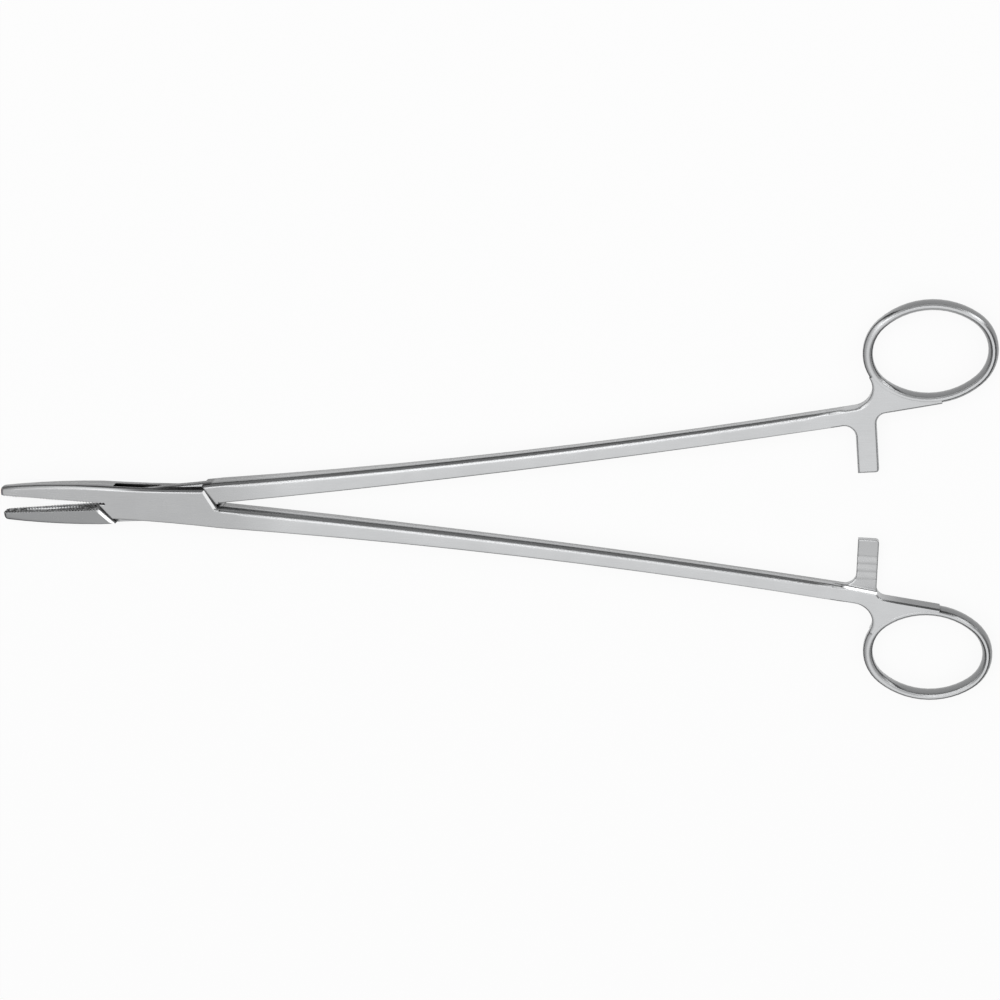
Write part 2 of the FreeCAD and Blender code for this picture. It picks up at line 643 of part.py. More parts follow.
opening = size("half_opening")
finished = [
    finish("box_half", join("BoxHalfClosed", box_head, handle_over), -opening),
    finish("tang_half", join("TangHalfClosed", tang_head, handle), opening),
    finish("rivet_pin", pin, -opening),
]

doc.recompute()
for thing in doc.Objects:
    if "Invalid" in thing.State or "Error" in thing.State:
        raise RuntimeError(f"{thing.Label} did not compute: {thing.State}")
for piece in finished:
    if piece.Shape.isNull() or not piece.Shape.isValid():
        raise RuntimeError(f"{piece.Label} has no valid shape")
os.makedirs("parts", exist_ok=True)
for piece in finished:
    piece.Shape.exportStep(f"parts/{piece.Label}.step")
    print(piece.Label, len(piece.Shape.Solids), round(piece.Shape.Volume, 2))
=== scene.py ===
import math
from functools import reduce

import bmesh
import bpy
from mathutils import Matrix, Vector


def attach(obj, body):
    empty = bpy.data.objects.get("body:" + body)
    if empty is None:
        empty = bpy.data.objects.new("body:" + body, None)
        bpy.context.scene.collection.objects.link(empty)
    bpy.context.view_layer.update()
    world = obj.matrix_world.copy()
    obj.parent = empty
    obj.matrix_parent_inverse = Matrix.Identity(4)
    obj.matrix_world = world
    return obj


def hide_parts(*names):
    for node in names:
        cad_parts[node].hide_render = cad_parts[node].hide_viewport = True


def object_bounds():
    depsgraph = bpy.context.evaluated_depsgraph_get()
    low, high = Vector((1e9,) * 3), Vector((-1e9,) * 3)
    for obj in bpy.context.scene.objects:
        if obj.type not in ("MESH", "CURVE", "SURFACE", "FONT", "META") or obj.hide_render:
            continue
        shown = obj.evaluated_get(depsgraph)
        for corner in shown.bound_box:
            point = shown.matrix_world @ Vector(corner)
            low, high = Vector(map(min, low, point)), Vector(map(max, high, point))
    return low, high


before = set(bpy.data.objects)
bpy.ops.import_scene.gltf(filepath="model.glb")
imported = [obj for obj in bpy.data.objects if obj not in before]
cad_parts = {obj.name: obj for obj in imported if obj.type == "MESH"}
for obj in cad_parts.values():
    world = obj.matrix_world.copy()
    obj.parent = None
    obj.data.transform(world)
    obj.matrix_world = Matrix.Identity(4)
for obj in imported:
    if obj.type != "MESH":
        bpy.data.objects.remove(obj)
cad_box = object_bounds()
scene = bpy.context.scene
scene.view_settings.view_transform = "Standard"

# Camera: nearly straight down on the instrument, a little from its ring end and its upper side
TARGET = Vector((0.0935, 0.001104, 0.003295))
TOWARDS_CAMERA = Vector((0.17785, 0.34202, 0.92271)).normalized()
PICTURE_RIGHT = Vector((0.98406, -0.05822, -0.16810)).normalized()
CAMERA_DISTANCE = 0.5708
FOCAL_LENGTH = 77.7
SENSOR_WIDTH = 36.0

camera_data = bpy.data.cameras.new("photo_camera")
camera_data.lens = FOCAL_LENGTH
camera_data.sensor_width = SENSOR_WIDTH
camera_data.sensor_fit = "AUTO"
camera_data.clip_start = 0.01
camera_data.clip_end = 20.0
camera = bpy.data.objects.new("photo_camera", camera_data)
scene.collection.objects.link(camera)
picture_up = TOWARDS_CAMERA.cross(PICTURE_RIGHT)
turn = Matrix((PICTURE_RIGHT, picture_up, TOWARDS_CAMERA)).transposed().to_4x4()
camera.matrix_world = Matrix.Translation(TARGET + CAMERA_DISTANCE * TOWARDS_CAMERA) @ turn
scene.camera = camera


# Node helpers
def add(tree, kind, values=None, **settings):
    """A node with its settings, and its sockets set or linked by name or number."""
    node = tree.nodes.new(kind)
    for name, value in settings.items():
        setattr(node, name, value)
    for name, value in (values or {}).items():
        if isinstance(value, bpy.types.NodeSocket):
            tree.links.new(value, node.inputs[name])
        else:
            node.inputs[name].default_value = value
    return node


def ramp(tree, factor, stops):
    """The colour of a ramp of grey stops, each a place and a level, in order."""
    node = add(tree, "ShaderNodeValToRGB", {"Fac": factor})
    points = node.color_ramp.elements
    for place, level in stops[1:-1]:
        points.new(place)
    for point, (place, level) in zip(points, stops):
        point.position = place
        point.color = (level, level, level, 1.0)
    return node.outputs["Color"]


def blended(tree, factor, first, second):
    """The colour between two colours, by a factor."""
    return add(tree, "ShaderNodeMix", {0: factor, 6: first, 7: second}, data_type="RGBA").outputs[2]


def noise(tree, place, scale, detail, roughness=0.5):
    """A cloudy pattern from 0 to 1."""
    return add(tree, "ShaderNodeTexNoise", {
        "Vector": place, "Scale": scale, "Detail": detail, "Roughness": roughness,
    }).outputs["Fac"]


class Sums:
    """Arithmetic nodes in one tree. Each method returns the socket that holds its result."""

    def __init__(self, tree):
        self.tree = tree

    def step(self, operation, first, second=0.0):
        return add(self.tree, "ShaderNodeMath", {0: first, 1: second}, operation=operation).outputs[0]

    def times(self, *values):
        return reduce(lambda first, second: self.step("MULTIPLY", first, second), values)

    def plus(self, *values):
        return reduce(lambda first, second: self.step("ADD", first, second), values)

    def highest(self, *values):
        return reduce(lambda first, second: self.step("MAXIMUM", first, second), values)

    def less(self, first, second):
        return self.step("SUBTRACT", first, second)

    def size(self, value):
        return self.step("ABSOLUTE", value)

    def rest(self, value):
        """What a share leaves of 1."""
        return self.less(1.0, value)

    def fade(self, value, begins, full, first=0.0, second=1.0, kind="SMOOTHSTEP"):
        """A step from the first level to the second as a value passes from begins to full."""
        return add(self.tree, "ShaderNodeMapRange", {
            "Value": value, "From Min": begins, "From Max": full, "To Min": first, "To Max": second,
        }, interpolation_type=kind).outputs[0]

    def slope(self, value, begins, full, first=0.0, second=1.0):
        """The same with a straight run between the levels."""
        return self.fade(value, begins, full, first, second, kind="LINEAR")


FLOAT = "NodeSocketFloat"
VECTOR = "NodeSocketVector"


def shared_effect(name, inputs, outputs):
    """An empty shader node group with named sockets: the group, what it is given and its way out."""
    group = bpy.data.node_groups.new(name, "ShaderNodeTree")
    for label, kind, value in inputs:
        socket = group.interface.new_socket(label, in_out="INPUT", socket_type=kind)
        if value is not None:
            socket.default_value = value
    for label, kind in outputs:
        group.interface.new_socket(label, in_out="OUTPUT", socket_type=kind)
    return group, group.nodes.new("NodeGroupInput").outputs, group.nodes.new("NodeGroupOutput")


def hand_out(group, way_out, results):
    """A group's results, linked to its outputs by name."""
    for label, value in results.items():
        group.links.new(value, way_out.inputs[label])
    return group


def placed(tree, group, **inputs):
    """The outputs of a shared effect placed in a material."""
    values = {label.replace("_", " "): value for label, value in inputs.items()}
    node = add(tree, "ShaderNodeGroup", node_tree=group)
    for label, value in values.items():
        if isinstance(value, bpy.types.NodeSocket):
            tree.links.new(value, node.inputs[label])
        else:
            node.inputs[label].default_value = value
    return node.outputs


# Shared effects of every steel surface
GRAIN_STRETCH = (260.0, 5200.0, 5200.0)
CLOUD_SCALE = 90.0


def brushed_grain():
    """Short fine lines along the instrument, with softer cloudy patches over them."""
    group, given, way_out = shared_effect(
        "brushed_grain",
        [("Place", VECTOR, None), ("Fineness", FLOAT, 1.0), ("Contrast", FLOAT, 1.0)],
        [("Shade", FLOAT), ("Height", FLOAT)],
    )
    sums = Sums(group)
    stretched = add(group, "ShaderNodeVectorMath", {
        0: given["Place"], 1: GRAIN_STRETCH,
    }, operation="MULTIPLY").outputs[0]
    fine = add(group, "ShaderNodeVectorMath", {
        0: stretched, "Scale": given["Fineness"],
    }, operation="SCALE").outputs[0]
    lines = noise(group, fine, 1.0, 4.0, roughness=0.7)
    clouds = noise(group, given["Place"], CLOUD_SCALE, 3.0)
    centred = sums.plus(lines, clouds, -1.0)
    return hand_out(group, way_out, {
        "Shade": sums.times(centred, given["Contrast"]),
        "Height": lines,
    })


# How upright a surface's normal stands where a side ends, and where a front begins
SIDE_ENDS = 0.6
FRONT_BEGINS = 0.93


def facing_out():
    """How far a surface faces the instrument's front or back, from 0 on its sides to 1."""
    group, given, way_out = shared_effect("facing_out", [("Facing", VECTOR, None)], [("Front", FLOAT)])
    sums = Sums(group)
    upright = add(group, "ShaderNodeSeparateXYZ", {0: given["Facing"]}).outputs["Z"]
    return hand_out(group, way_out, {"Front": sums.fade(sums.size(upright), SIDE_ENDS, FRONT_BEGINS)})


# How well the rolled normal agrees with the flat one where the edges' wear and painted sheen begin, and where
# they are full
WEAR_AND_SHEEN = (0.98, 0.8)


def polished_edges():
    """A normal that rolls over every edge, and how far it leaves the flat beside it."""
    group, given, way_out = shared_effect(
        "polished_edges", [("Radius", FLOAT, 0.001)], [("Rolled", VECTOR), ("Wear And Sheen", FLOAT)],
    )
    rolled = add(group, "ShaderNodeBevel", {"Radius": given["Radius"]}, samples=8).outputs["Normal"]
    flat = add(group, "ShaderNodeNewGeometry").outputs["True Normal"]
    agree = add(group, "ShaderNodeVectorMath", {0: rolled, 1: flat}, operation="DOT_PRODUCT")
    return hand_out(group, way_out, {
        "Rolled": rolled,
        "Wear And Sheen": Sums(group).slope(agree.outputs["Value"], *WEAR_AND_SHEEN),
    })


# Hollows, where shade is painted
HOLLOW_REACH = 0.0006
HOLLOW = (0.97, 0.6)


def dark_hollows():
    """How deep a place lies in a groove, a gap or a corner, from 0 in the open to 1."""
    group, given, way_out = shared_effect(
        "dark_hollows", [("Reach", FLOAT, HOLLOW_REACH)], [("Hollow", FLOAT)],
    )
    open_sky = add(group, "ShaderNodeAmbientOcclusion", {
        "Distance": given["Reach"],
    }, samples=8, only_local=True).outputs["AO"]
    return hand_out(group, way_out, {"Hollow": Sums(group).fade(open_sky, *HOLLOW)})


# Rolled edges: how far the lower ones are flattened, and how steep the normal is in the part of the upper
# ones where a dark reflection band is painted
LOWER_EDGE_FLATTENED = 0.8
LOWER_EDGE = (0.0, -0.05)
UPPER_EDGE = (0.0, 0.1)
LOW_TURN_BEGINS = (0.15, 0.4)
LOW_TURN_ENDS = (0.93, 0.84)


def leaning_normal():
    """The rolled normal with its lean, kept flatter along lower front edges, and where an upper edge turns
    low, for a painted dark reflection band.
    """
    group, given, way_out = shared_effect(
        "leaning_normal",
        [("Rolled", VECTOR, None), ("Tilt", FLOAT, 0.0), ("Front", FLOAT, 0.0)],
        [("Leaning", VECTOR), ("Low Turn", FLOAT)],
    )
    sums = Sums(group)
    own = add(group, "ShaderNodeVectorTransform", {0: given["Rolled"]},
              vector_type="NORMAL", convert_from="WORLD", convert_to="OBJECT").outputs[0]
    own = add(group, "ShaderNodeSeparateXYZ", {0: own}).outputs
    flattened = sums.times(given["Front"], sums.fade(own["Y"], *LOWER_EDGE, 0.0, LOWER_EDGE_FLATTENED))
    leant = add(group, "ShaderNodeCombineXYZ", {
        "X": own["X"],
        "Y": sums.times(own["Y"], sums.rest(flattened)),
        "Z": sums.plus(own["Z"], given["Tilt"]),
    }).outputs[0]
    unit = add(group, "ShaderNodeVectorMath", {0: leant}, operation="NORMALIZE").outputs[0]
    leaning = add(group, "ShaderNodeVectorTransform", {0: unit},
                  vector_type="NORMAL", convert_from="OBJECT", convert_to="WORLD").outputs[0]
    steep = sums.size(own["Z"])
    low_turn = sums.times(
        sums.fade(steep, *LOW_TURN_BEGINS),
        sums.fade(steep, *LOW_TURN_ENDS),
        sums.fade(own["Y"], *UPPER_EDGE),
    )
    return hand_out(group, way_out, {"Leaning": leaning, "Low Turn": low_turn})


# Places on the instrument, in metres from the pivot. A pair is where a zone begins and where it is full
MIDDLE_HEIGHT = cad_box[1][2] / 2
SHANK_START = 0.0165
BARS_START = 0.178
BARS_END = 0.1925
UPPER_SIDE = (-0.0005, 0.0005)
RINGS = (0.19, 0.2)
BOX = (0.04, SHANK_START)
FACES_BESIDE = (0.8, 0.9)


class HalfPoint:
    """Sockets for a point of a half: its place, which way it faces, and its height over the middle."""

    def __init__(self, group, given):
        self.group = group
        self.sums = Sums(group)
        self.place = given["Place"]
        place = add(group, "ShaderNodeSeparateXYZ", {0: given["Place"]}).outputs
        self.x, self.y, self.z = place["X"], place["Y"], place["Z"]
        facing = add(group, "ShaderNodeSeparateXYZ", {0: given["Facing"]}).outputs
        self.faces_x, self.faces_y, self.faces_z = facing["X"], facing["Y"], facing["Z"]
        self.front = given["Front"]
        self.side = self.sums.rest(self.front)
        self.off_axis = self.sums.size(self.y)
        self.rise = self.sums.less(self.z, MIDDLE_HEIGHT)
        self.from_middle = self.sums.size(self.rise)
        self.up_or_down = self.sums.step("SIGN", self.rise)
        self.outward = self.sums.times(self.y, self.faces_y)
        self.faces_beside = self.sums.fade(self.sums.size(self.faces_y), *FACES_BESIDE)


# Painted shade in the box lock and on recessed fronts
BOX_WALL_START = (-0.004, 0.002)
BOX_END = (0.0155, 0.0145)
RECESS_DEPTH = (0.00155, 0.0013)
RECESSED_BARS = (0.05, 0.1)
INNER_WALL_END = (0.003, 0.0015)
WEDGE_EDGE = (0.0052, 0.0049)


def recess_zones(point):
    """Masks for painted shade: the box's side walls, the tang seen through its slot, and the bars' recessed
    mating faces.
    """
    sums = point.sums
    box_end = sums.fade(point.x, *BOX_END)
    recessed = sums.times(sums.fade(point.from_middle, *RECESS_DEPTH), point.front)
    shown = sums.times(recessed, sums.fade(point.y, *UPPER_SIDE))
    return {
        "Box Wall Shade": sums.times(sums.fade(point.x, *BOX_WALL_START), box_end, point.faces_beside),
        "Recess": sums.times(recessed, sums.fade(point.x, *RECESSED_BARS)),
        "Inner Wall Shade": sums.times(shown, sums.fade(point.x, *INNER_WALL_END)),
        # The tang's top beside the box wall, where a shadow is painted
        "Wedge Shade": sums.times(shown, box_end, sums.fade(point.y, *WEDGE_EDGE)),
    }


# Jaw faces: painted shade, and painted glints on the ridges, along the front edge and in the groove
TEETH_END = (-0.0172, -0.0176)
FACES_INWARD = (0.00005, -0.00005)
GROOVE_START = (-0.0408, -0.0388)
GROOVE_END = (-0.0225, -0.0245)
GROOVE_EDGE = (0.00075, 0.00055)
SERRATION_PITCH = 0.00086
# Ridges facing the rings and the front get painted glints in random spots, those in shade a share of them
RIDGE_TOWARDS_RINGS = (-0.1, 0.1)
RIDGE_TOWARDS_FRONT = (0.0, 0.2)
RIDGE_IN_SHADE = 0.4
GLINT_SPOT_SCALE = 800.0
GLINT_SPOTS = (0.54, 0.58)
COMB_RISE = (0.2 * SERRATION_PITCH, 0.3 * SERRATION_PITCH)
COMB_EDGE = (0.0013, 0.0016)


def serrated_zones(point):
    """The serrated jaw faces, the groove down their middle, and painted glints on their ridges, along their
    front edge and in the groove.
    """
    sums = point.sums
    teeth = sums.times(
        sums.fade(point.outward, *FACES_INWARD),
        sums.fade(point.x, *TEETH_END),
        point.side,
    )
    groove = sums.times(
        sums.fade(point.from_middle, *GROOVE_EDGE),
        sums.fade(point.x, *GROOVE_START),
        sums.fade(point.x, *GROOVE_END),
    )
    lit_ridges = sums.times(
        sums.fade(point.faces_x, *RIDGE_TOWARDS_RINGS),
        sums.fade(point.faces_z, *RIDGE_TOWARDS_FRONT),
    )
    # Random spots where a glint is painted
    glint_spots = sums.fade(noise(point.group, point.place, GLINT_SPOT_SCALE, 1.0), *GLINT_SPOTS)
    sparkle = sums.times(glint_spots, sums.highest(lit_ridges, RIDGE_IN_SHADE))
    tooth_run = sums.step("PINGPONG", point.x, SERRATION_PITCH / 2)
    comb = sums.times(sums.fade(tooth_run, *COMB_RISE), sums.fade(point.from_middle, *COMB_EDGE))
    glint = sums.times(teeth, sums.highest(sparkle, comb, groove))
    return {"Teeth": teeth, "Glint": glint}, sums.times(groove, teeth)


# Ratchet bars: where they are, and the ledge between a bar's mating face and the shank, which gets a painted
# highlight
BARS = (BARS_START + 0.004, BARS_START + 0.006)
BARS_REACH = (0.0275, 0.0265)
LEDGE_START = (0.019, 0.02)
LEDGE_END = (BARS_END, BARS_END - 0.001)
LEDGE_ON_MATING_SIDE = (0.0, -0.00001)
LEDGE_INWARD = (0.0, -0.001)


def bar_zones(point):
    """The ratchet bars, and the ledge at the root of each mating face."""
    sums = point.sums
    bars = sums.times(sums.fade(point.x, *BARS), sums.fade(point.off_axis, *BARS_REACH))
    ledge = sums.times(
        bars,
        point.faces_beside,
        sums.fade(point.off_axis, *LEDGE_START),
        sums.fade(sums.times(point.y, point.rise), *LEDGE_ON_MATING_SIDE),
        sums.fade(point.x, *LEDGE_END),
        sums.fade(point.outward, *LEDGE_INWARD),
    )
    return bars, ledge


# Chamfers on the box lock's slanted shoulders, by how upright and how far along they face; they get a painted
# highlight
CHAMFER_STEEPER = (0.6, 0.66)
CHAMFER_FLATTER = (0.82, 0.76)
CHAMFER_ALONG = (0.25, 0.35)
CHAMFERS_END = (0.019, 0.018)


def chamfer_zone(point):
    """The chamfers on the shoulders at the front and back of the box lock."""
    sums = point.sums
    upright = sums.size(point.faces_z)
    return sums.times(
        sums.fade(upright, *CHAMFER_STEEPER),
        sums.fade(upright, *CHAMFER_FLATTER),
        sums.fade(sums.size(point.faces_x), *CHAMFER_ALONG),
        sums.fade(point.x, *CHAMFERS_END),
    )


# Half the instrument's thickness at the pivot and near the rings, for the crown of its sides
THINNING_RUN = (0.0, 0.18)
HALF_THICKNESS = (0.0029, 0.0021)
SIDE_CROWN = 1.3
CHAMFER_LEAN = 0.7
LEDGE_LEAN = 2.0
GROOVE_LEAN = -1.3


def lean_of(point, uncrowned, plain, chamfer, ledge, groove):
    """How much a normal leans up or down: crowned sides, and bright chamfers, ledges and grooves."""
    sums = point.sums
    half_thickness = sums.fade(point.x, *THINNING_RUN, *HALF_THICKNESS)
    height_share = sums.step("DIVIDE", point.rise, half_thickness)
    crown = sums.times(height_share, SIDE_CROWN, point.side, sums.rest(uncrowned), plain)
    ground = sums.plus(
        sums.times(chamfer, CHAMFER_LEAN),
        sums.times(ledge, LEDGE_LEAN),
        sums.times(groove, GROOVE_LEAN),
    )
    return sums.plus(crown, sums.times(ground, point.up_or_down))


# Radius of the rolled edges, in metres
JAW_ROLL = 0.00045
BOX_ROLL = 0.0008
SHANK_ROLL = 0.0018
RING_ROLL = 0.0001
LEAST_ROLL = 0.00005
JAW_TO_BOX = (-0.014, 0.0)
BOX_TO_SHANK = (SHANK_START + 0.002, 0.025)
SHANK_TO_BARS = (BARS_START - 0.004, BARS_START)
BARS_TO_RING = (0.192, 0.197)
PIN_EDGE = (0.0026, 0.0034)


def roll_of(point, plain):
    """How wide a half's edges are rolled: widest on the shanks, and crisp on teeth and the pin's rim."""
    sums = point.sums
    shank = sums.less(sums.fade(point.x, *BOX_TO_SHANK), sums.fade(point.x, *SHANK_TO_BARS))
    roll = sums.plus(
        sums.times(shank, SHANK_ROLL - BOX_ROLL),
        sums.less(
            sums.fade(point.x, *JAW_TO_BOX, JAW_ROLL, BOX_ROLL),
            sums.fade(point.x, *BARS_TO_RING, 0.0, BOX_ROLL - RING_ROLL),
        ),
    )
    plan = add(point.group, "ShaderNodeVectorMath", {
        0: point.place, 1: (1.0, 1.0, 0.0),
    }, operation="MULTIPLY").outputs[0]
    from_pin = add(point.group, "ShaderNodeVectorMath", {0: plan}, operation="LENGTH").outputs["Value"]
    return sums.highest(sums.times(roll, plain, sums.fade(from_pin, *PIN_EDGE)), LEAST_ROLL)


# The front shoulder's line: its x at y = 0, and how far x falls as y grows
SHOULDER_PLACE = (-0.0175, -0.018)
SHOULDER_SLOPE = 1.114
LOWER_SIDE = (0.0, -0.0005)
# Where along the instrument the painted dark reflection band on upper edges reaches
TURNING_START = (-0.014, -0.004)
TURNING_END = (BARS_START + 0.006, BARS_START - 0.002)


def half_zones():
    """Parts of a half: which zones a point lies in, its normal's lean, and how wide its edges are rolled."""
    labels = ("Box Wall Shade", "Chamfer", "Tilt", "Inner Wall Shade", "Recess", "Teeth", "Glint", "Bars", "Wedge Shade",
              "Ring", "Box", "Roll", "Turning", "Lower Jaw Shade")
    group, given, way_out = shared_effect(
        "half_zones",
        [("Place", VECTOR, None), ("Facing", VECTOR, None), ("Front", FLOAT, 0.0)],
        [(label, FLOAT) for label in labels],
    )
    point = HalfPoint(group, given)
    sums = point.sums
    ring = sums.fade(point.x, *RINGS)
    bars, ledge = bar_zones(point)
    chamfer = chamfer_zone(point)
    toothed, groove = serrated_zones(point)
    # Chamfers and ledges get a painted highlight
    bright = sums.highest(chamfer, ledge)
    plain = sums.rest(sums.highest(toothed["Teeth"], bright))
    past_shoulder = sums.plus(point.x, sums.times(point.y, SHOULDER_SLOPE))
    return hand_out(group, way_out, {
        **recess_zones(point),
        **toothed,
        "Bars": bars,
        "Ring": ring,
        "Box": sums.fade(point.x, *BOX),
        "Chamfer": bright,
        "Tilt": lean_of(point, sums.highest(ring, bars), plain, chamfer, ledge, groove),
        "Roll": roll_of(point, plain),
        "Turning": sums.times(sums.fade(point.x, *TURNING_START), sums.fade(point.x, *TURNING_END)),
        # The lower jaw's face, where a darker colour is painted as shade
        "Lower Jaw Shade": sums.times(sums.fade(point.y, *LOWER_SIDE), sums.fade(past_shoulder, *SHOULDER_PLACE)),
    })


BRUSHED_GRAIN = brushed_grain()
FACING_OUT = facing_out()
POLISHED_EDGES = polished_edges()
DARK_HOLLOWS = dark_hollows()
LEANING_NORMAL = leaning_normal()
HALF_ZONES = half_zones()

# Steel: reflection colours of its surfaces, and the colours that paint shade, dark reflections and highlights
# on them
FACE = (0.63, 0.638, 0.646, 1.0)
BOX_FACE = (0.49, 0.495, 0.5, 1.0)
# The lower jaw's face, painted darker as shade
LOWER_JAW_SHADE = (0.34, 0.344, 0.348, 1.0)
# Sides: the same steel painted darker, as shade and dark reflections
SHADED_SIDE = (0.46, 0.465, 0.47, 1.0)
SHADED_JAW_SIDE = (0.3, 0.303, 0.306, 1.0)
SHADED_RING_SIDE = (0.25, 0.253, 0.256, 1.0)
# The box's side walls, painted dark as shade and dark reflections
BOX_WALL_SHADE = (0.1, 0.101, 0.102, 1.0)
# Chamfers and ledges, painted near-white as a highlight
CHAMFER_AND_LEDGE_HIGHLIGHT = (0.9, 0.905, 0.91, 1.0)
# The tang seen through the box's slot, painted near-black as shade, on the upper side only
INNER_WALL_SHADE = (0.03, 0.03, 0.03, 1.0)
# The bars' recessed mating faces, painted darker as shade against a lamp's reflection
RECESS_SHADE = (0.5, 0.505, 0.51, 1.0)
# The serrated jaw faces, painted near-black as shade
TEETH_SHADE = (0.025, 0.025, 0.025, 1.0)
# Front edges, partly worn bright and partly a painted highlight; also the colour of the painted glints
EDGE_SHINE = (0.72, 0.73, 0.74, 1.0)
# A dark band painted on upper rolled edges, as a reflection of the dark horizon
DARK_REFLECTION_BAND = (0.07, 0.071, 0.072, 1.0)
# Hollows and the tang's top beside the box wall, painted near-black as shade
HOLLOW_SHADE = (0.015, 0.015, 0.015, 1.0)

ROUGHNESS = 0.26
ROUGHNESS_RANGE = 0.04
TINT_RANGE = 0.1
SHADE_RANGE = (-0.5, 0.5)
GRAIN_CONTRAST = 0.9
GRAIN_RELIEF = 0.05
GRAIN_DEPTH = 0.0001
PIN_FINENESS = 1.4
TEETH_METAL = 0.6
# How much of the painted hollow shade stays on the ratchet bars
HOLLOW_IN_BARS = 0.1


def half_surface(tree, place, front, surface, relief):
    """The colour of a half before its grain, with its painted shade and highlights, and with its metal share
    and its rolled normal linked.
    """
    sums = Sums(tree)
    zone = placed(tree, HALF_ZONES, Place=place["Object"], Facing=place["Normal"], Front=front)
    edges = placed(tree, POLISHED_EDGES, Radius=zone["Roll"])
    hollow = placed(tree, DARK_HOLLOWS)["Hollow"]
    turned = placed(tree, LEANING_NORMAL, Rolled=edges["Rolled"], Tilt=zone["Tilt"], Front=front)
    tree.links.new(turned["Leaning"], relief.inputs["Normal"])
    tree.links.new(sums.fade(zone["Teeth"], 0.0, 1.0, 1.0, TEETH_METAL), surface.inputs["Metallic"])

    face = blended(tree, zone["Box"], FACE, BOX_FACE)
    # The lower jaw's face is painted darker, as shade
    face = blended(tree, zone["Lower Jaw Shade"], face, LOWER_JAW_SHADE)
    # The sides' colours are painted shade and dark reflections, darker than the fronts
    side = blended(tree, zone["Box"], SHADED_SIDE, SHADED_JAW_SIDE)
    side = blended(tree, zone["Ring"], side, SHADED_RING_SIDE)
    colour = blended(tree, front, side, face)
    # Painted shade, dark reflections and highlights, with the wear of front edges, laid over the colour in
    # turn
    for mask, over in (
        # Painted shadow on the tang's top beside the box wall
        (zone["Wedge Shade"], HOLLOW_SHADE),
        # Wear and a painted highlight on rolled front edges
        (sums.times(edges["Wear And Sheen"], front, sums.rest(zone["Box"])), EDGE_SHINE),
        # Painted dark reflection band on upper rolled edges
        (sums.times(zone["Turning"], turned["Low Turn"]), DARK_REFLECTION_BAND),
        # Painted shade and dark reflections on the box's side walls
        (zone["Box Wall Shade"], BOX_WALL_SHADE),
        # Painted highlight on chamfers and ledges
        (zone["Chamfer"], CHAMFER_AND_LEDGE_HIGHLIGHT),
        # Painted shade on the bars' recessed mating faces
        (zone["Recess"], RECESS_SHADE),
        # Painted shade on the serrated jaw faces
        (zone["Teeth"], TEETH_SHADE),
        # Painted glints on the serrated faces
        (zone["Glint"], EDGE_SHINE),
        # Painted shade in hollows
        (sums.times(hollow, sums.fade(zone["Bars"], 0.0, 1.0, 1.0, HOLLOW_IN_BARS)), HOLLOW_SHADE),
        # Painted shade inside the box's slot
        (zone["Inner Wall Shade"], INNER_WALL_SHADE),
    ):
        colour = blended(tree, mask, colour, over)
    return colour


def steel(name, fineness=1.0, of_a_half=True):
    """Stainless steel: brushed light on front and back, with painted shade and dark reflections on its sides
    and painted shade in its hollows, and on a half painted highlights on edges, chamfers and ridges.
    """
    material = bpy.data.materials.new(name)
    material.use_nodes = True
    tree = material.node_tree
    sums = Sums(tree)
    surface = tree.nodes["Principled BSDF"]
    surface.inputs["Metallic"].default_value = 1.0
    place = add(tree, "ShaderNodeTexCoord").outputs
    grain = placed(tree, BRUSHED_GRAIN, Place=place["Object"], Fineness=fineness, Contrast=GRAIN_CONTRAST)
    front = placed(tree, FACING_OUT, Facing=place["Normal"])["Front"]
    relief = add(tree, "ShaderNodeBump", {
        "Strength": GRAIN_RELIEF, "Distance": GRAIN_DEPTH, "Height": grain["Height"],
    })
    if of_a_half:
        colour = half_surface(tree, place, front, surface, relief)
    else:
        # The pin's sides get the same painted shade
        colour = blended(tree, front, SHADED_SIDE, BOX_FACE)
    tint = sums.slope(grain["Shade"], *SHADE_RANGE, 1.0 - TINT_RANGE, 1.0 + TINT_RANGE)
    tinted = add(tree, "ShaderNodeVectorMath", {0: colour, "Scale": tint}, operation="SCALE").outputs[0]
    gloss = sums.slope(grain["Shade"], *SHADE_RANGE, ROUGHNESS - ROUGHNESS_RANGE, ROUGHNESS + ROUGHNESS_RANGE)
    tree.links.new(tinted, surface.inputs["Base Color"])
    tree.links.new(gloss, surface.inputs["Roughness"])
    tree.links.new(relief.outputs["Normal"], surface.inputs["Normal"])
    return material


SATIN = steel("satin_steel")
PIN = steel("pin_steel", fineness=PIN_FINENESS, of_a_half=False)

# Finished pieces
SHARP_ANGLE = math.radians(24)
MERGE = 1e-6


def finished_copy(node, name, body, material):
    """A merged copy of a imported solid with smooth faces, crisp edges and its own material."""
    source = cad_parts[node]
    mesh = source.data.copy()
    mesh.name = name
    mesh.transform(source.matrix_world)
    work = bmesh.new()
    work.from_mesh(mesh)
    bmesh.ops.remove_doubles(work, verts=work.verts, dist=MERGE)
    bmesh.ops.dissolve_degenerate(work, edges=work.edges, dist=MERGE)
    for face in work.faces:
        face.smooth = True
        face.material_index = 0
    for edge in work.edges:
        edge.smooth = len(edge.link_faces) == 2 and edge.calc_face_angle(0.0) < SHARP_ANGLE
    work.to_mesh(mesh)
    work.free()
    mesh.materials.clear()
    mesh.materials.append(material)
    piece = bpy.data.objects.new(name, mesh)
    scene.collection.objects.link(piece)
    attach(piece, body)
    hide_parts(node)


finished_copy("box_half", "box_handle", "box_body", SATIN)
finished_copy("tang_half", "tang_handle", "tang_body", SATIN)
finished_copy("rivet_pin", "rivet", "box_body", PIN)

# Floor: a plain pale sheet that shows white and keeps the instrument's shadow
FLOOR_REACH = 3.0
FLOOR_DROP = 0.0001
FLOOR_GLOW = 0.9
FLOOR_COLOUR = (0.95, 0.95, 0.95, 1.0)
WHITE = (1.0, 1.0, 1.0, 1.0)


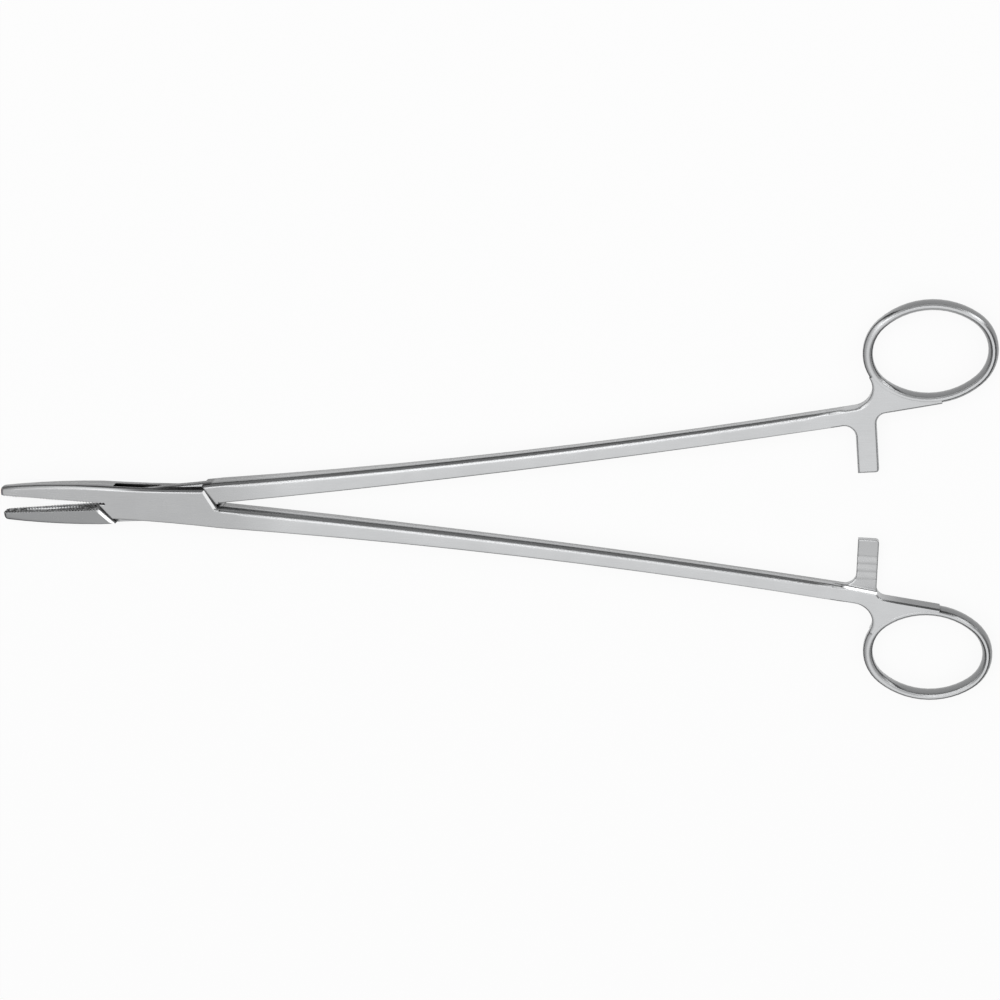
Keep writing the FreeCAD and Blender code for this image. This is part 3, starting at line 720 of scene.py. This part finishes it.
def floor_material():
    """Pale paper that glows to the camera, in mirrors and through clear things, and holds shadows."""
    paper = bpy.data.materials.new("pale_floor")
    paper.use_nodes = True
    tree = paper.node_tree
    tree.nodes.clear()
    sums = Sums(tree)
    diffuse = add(tree, "ShaderNodeBsdfDiffuse", {"Color": FLOOR_COLOUR}).outputs[0]
    glow = add(tree, "ShaderNodeEmission", {"Color": WHITE, "Strength": 1.0}).outputs[0]
    path = add(tree, "ShaderNodeLightPath").outputs
    seen = sums.highest(path["Is Camera Ray"], path["Is Transmission Ray"], path["Is Glossy Ray"])
    lit = add(tree, "ShaderNodeMixShader", {0: sums.times(seen, FLOOR_GLOW), 1: diffuse, 2: glow})
    add(tree, "ShaderNodeOutputMaterial", {"Surface": lit.outputs[0]})
    return paper


floor_mesh = bpy.data.meshes.new("floor")
work = bmesh.new()
bmesh.ops.create_grid(work, x_segments=1, y_segments=1, size=FLOOR_REACH)
bmesh.ops.translate(work, verts=work.verts, vec=(TARGET.x, 0.0, -FLOOR_DROP))
work.to_mesh(floor_mesh)
work.free()
floor_mesh.materials.append(floor_material())
floor = bpy.data.objects.new("floor", floor_mesh)
scene.collection.objects.link(floor)

# World: a plain grey room, dark along the horizon and light overhead. Each stop is a height and a level
ROOM = ((0.0, 0.08), (0.38, 0.08), (0.58, 0.6), (0.8, 0.95), (1.0, 0.95))

world = bpy.data.worlds.new("studio")
scene.world = world
world.use_nodes = True
tree = world.node_tree
tree.nodes.clear()
direction = add(tree, "ShaderNodeTexCoord").outputs["Generated"]
height = add(tree, "ShaderNodeSeparateXYZ", {0: direction}).outputs["Z"]
background = add(tree, "ShaderNodeBackground", {"Color": ramp(tree, height, ROOM), "Strength": 1.0})
add(tree, "ShaderNodeOutputWorld", {"Surface": background.outputs[0]})


def softbox(name, towards, distance, width, depth, power):
    """A soft box that faces the instrument from a direction, in metres and watts."""
    data = bpy.data.lights.new(name, "AREA")
    data.shape = "RECTANGLE"
    data.size = width
    data.size_y = depth
    data.energy = power
    light = bpy.data.objects.new(name, data)
    scene.collection.objects.link(light)
    place = TARGET + distance * Vector(towards).normalized()
    light.location = place
    light.rotation_euler = (place - TARGET).to_track_quat("Z", "Y").to_euler()


softbox("key_softbox", towards=(-0.18, 0.46, 0.87), distance=1.2, width=1.0, depth=0.6, power=2.6)
softbox("end_softbox", towards=(0.72, 0.59, 0.38), distance=1.0, width=0.3, depth=0.3, power=0.7)
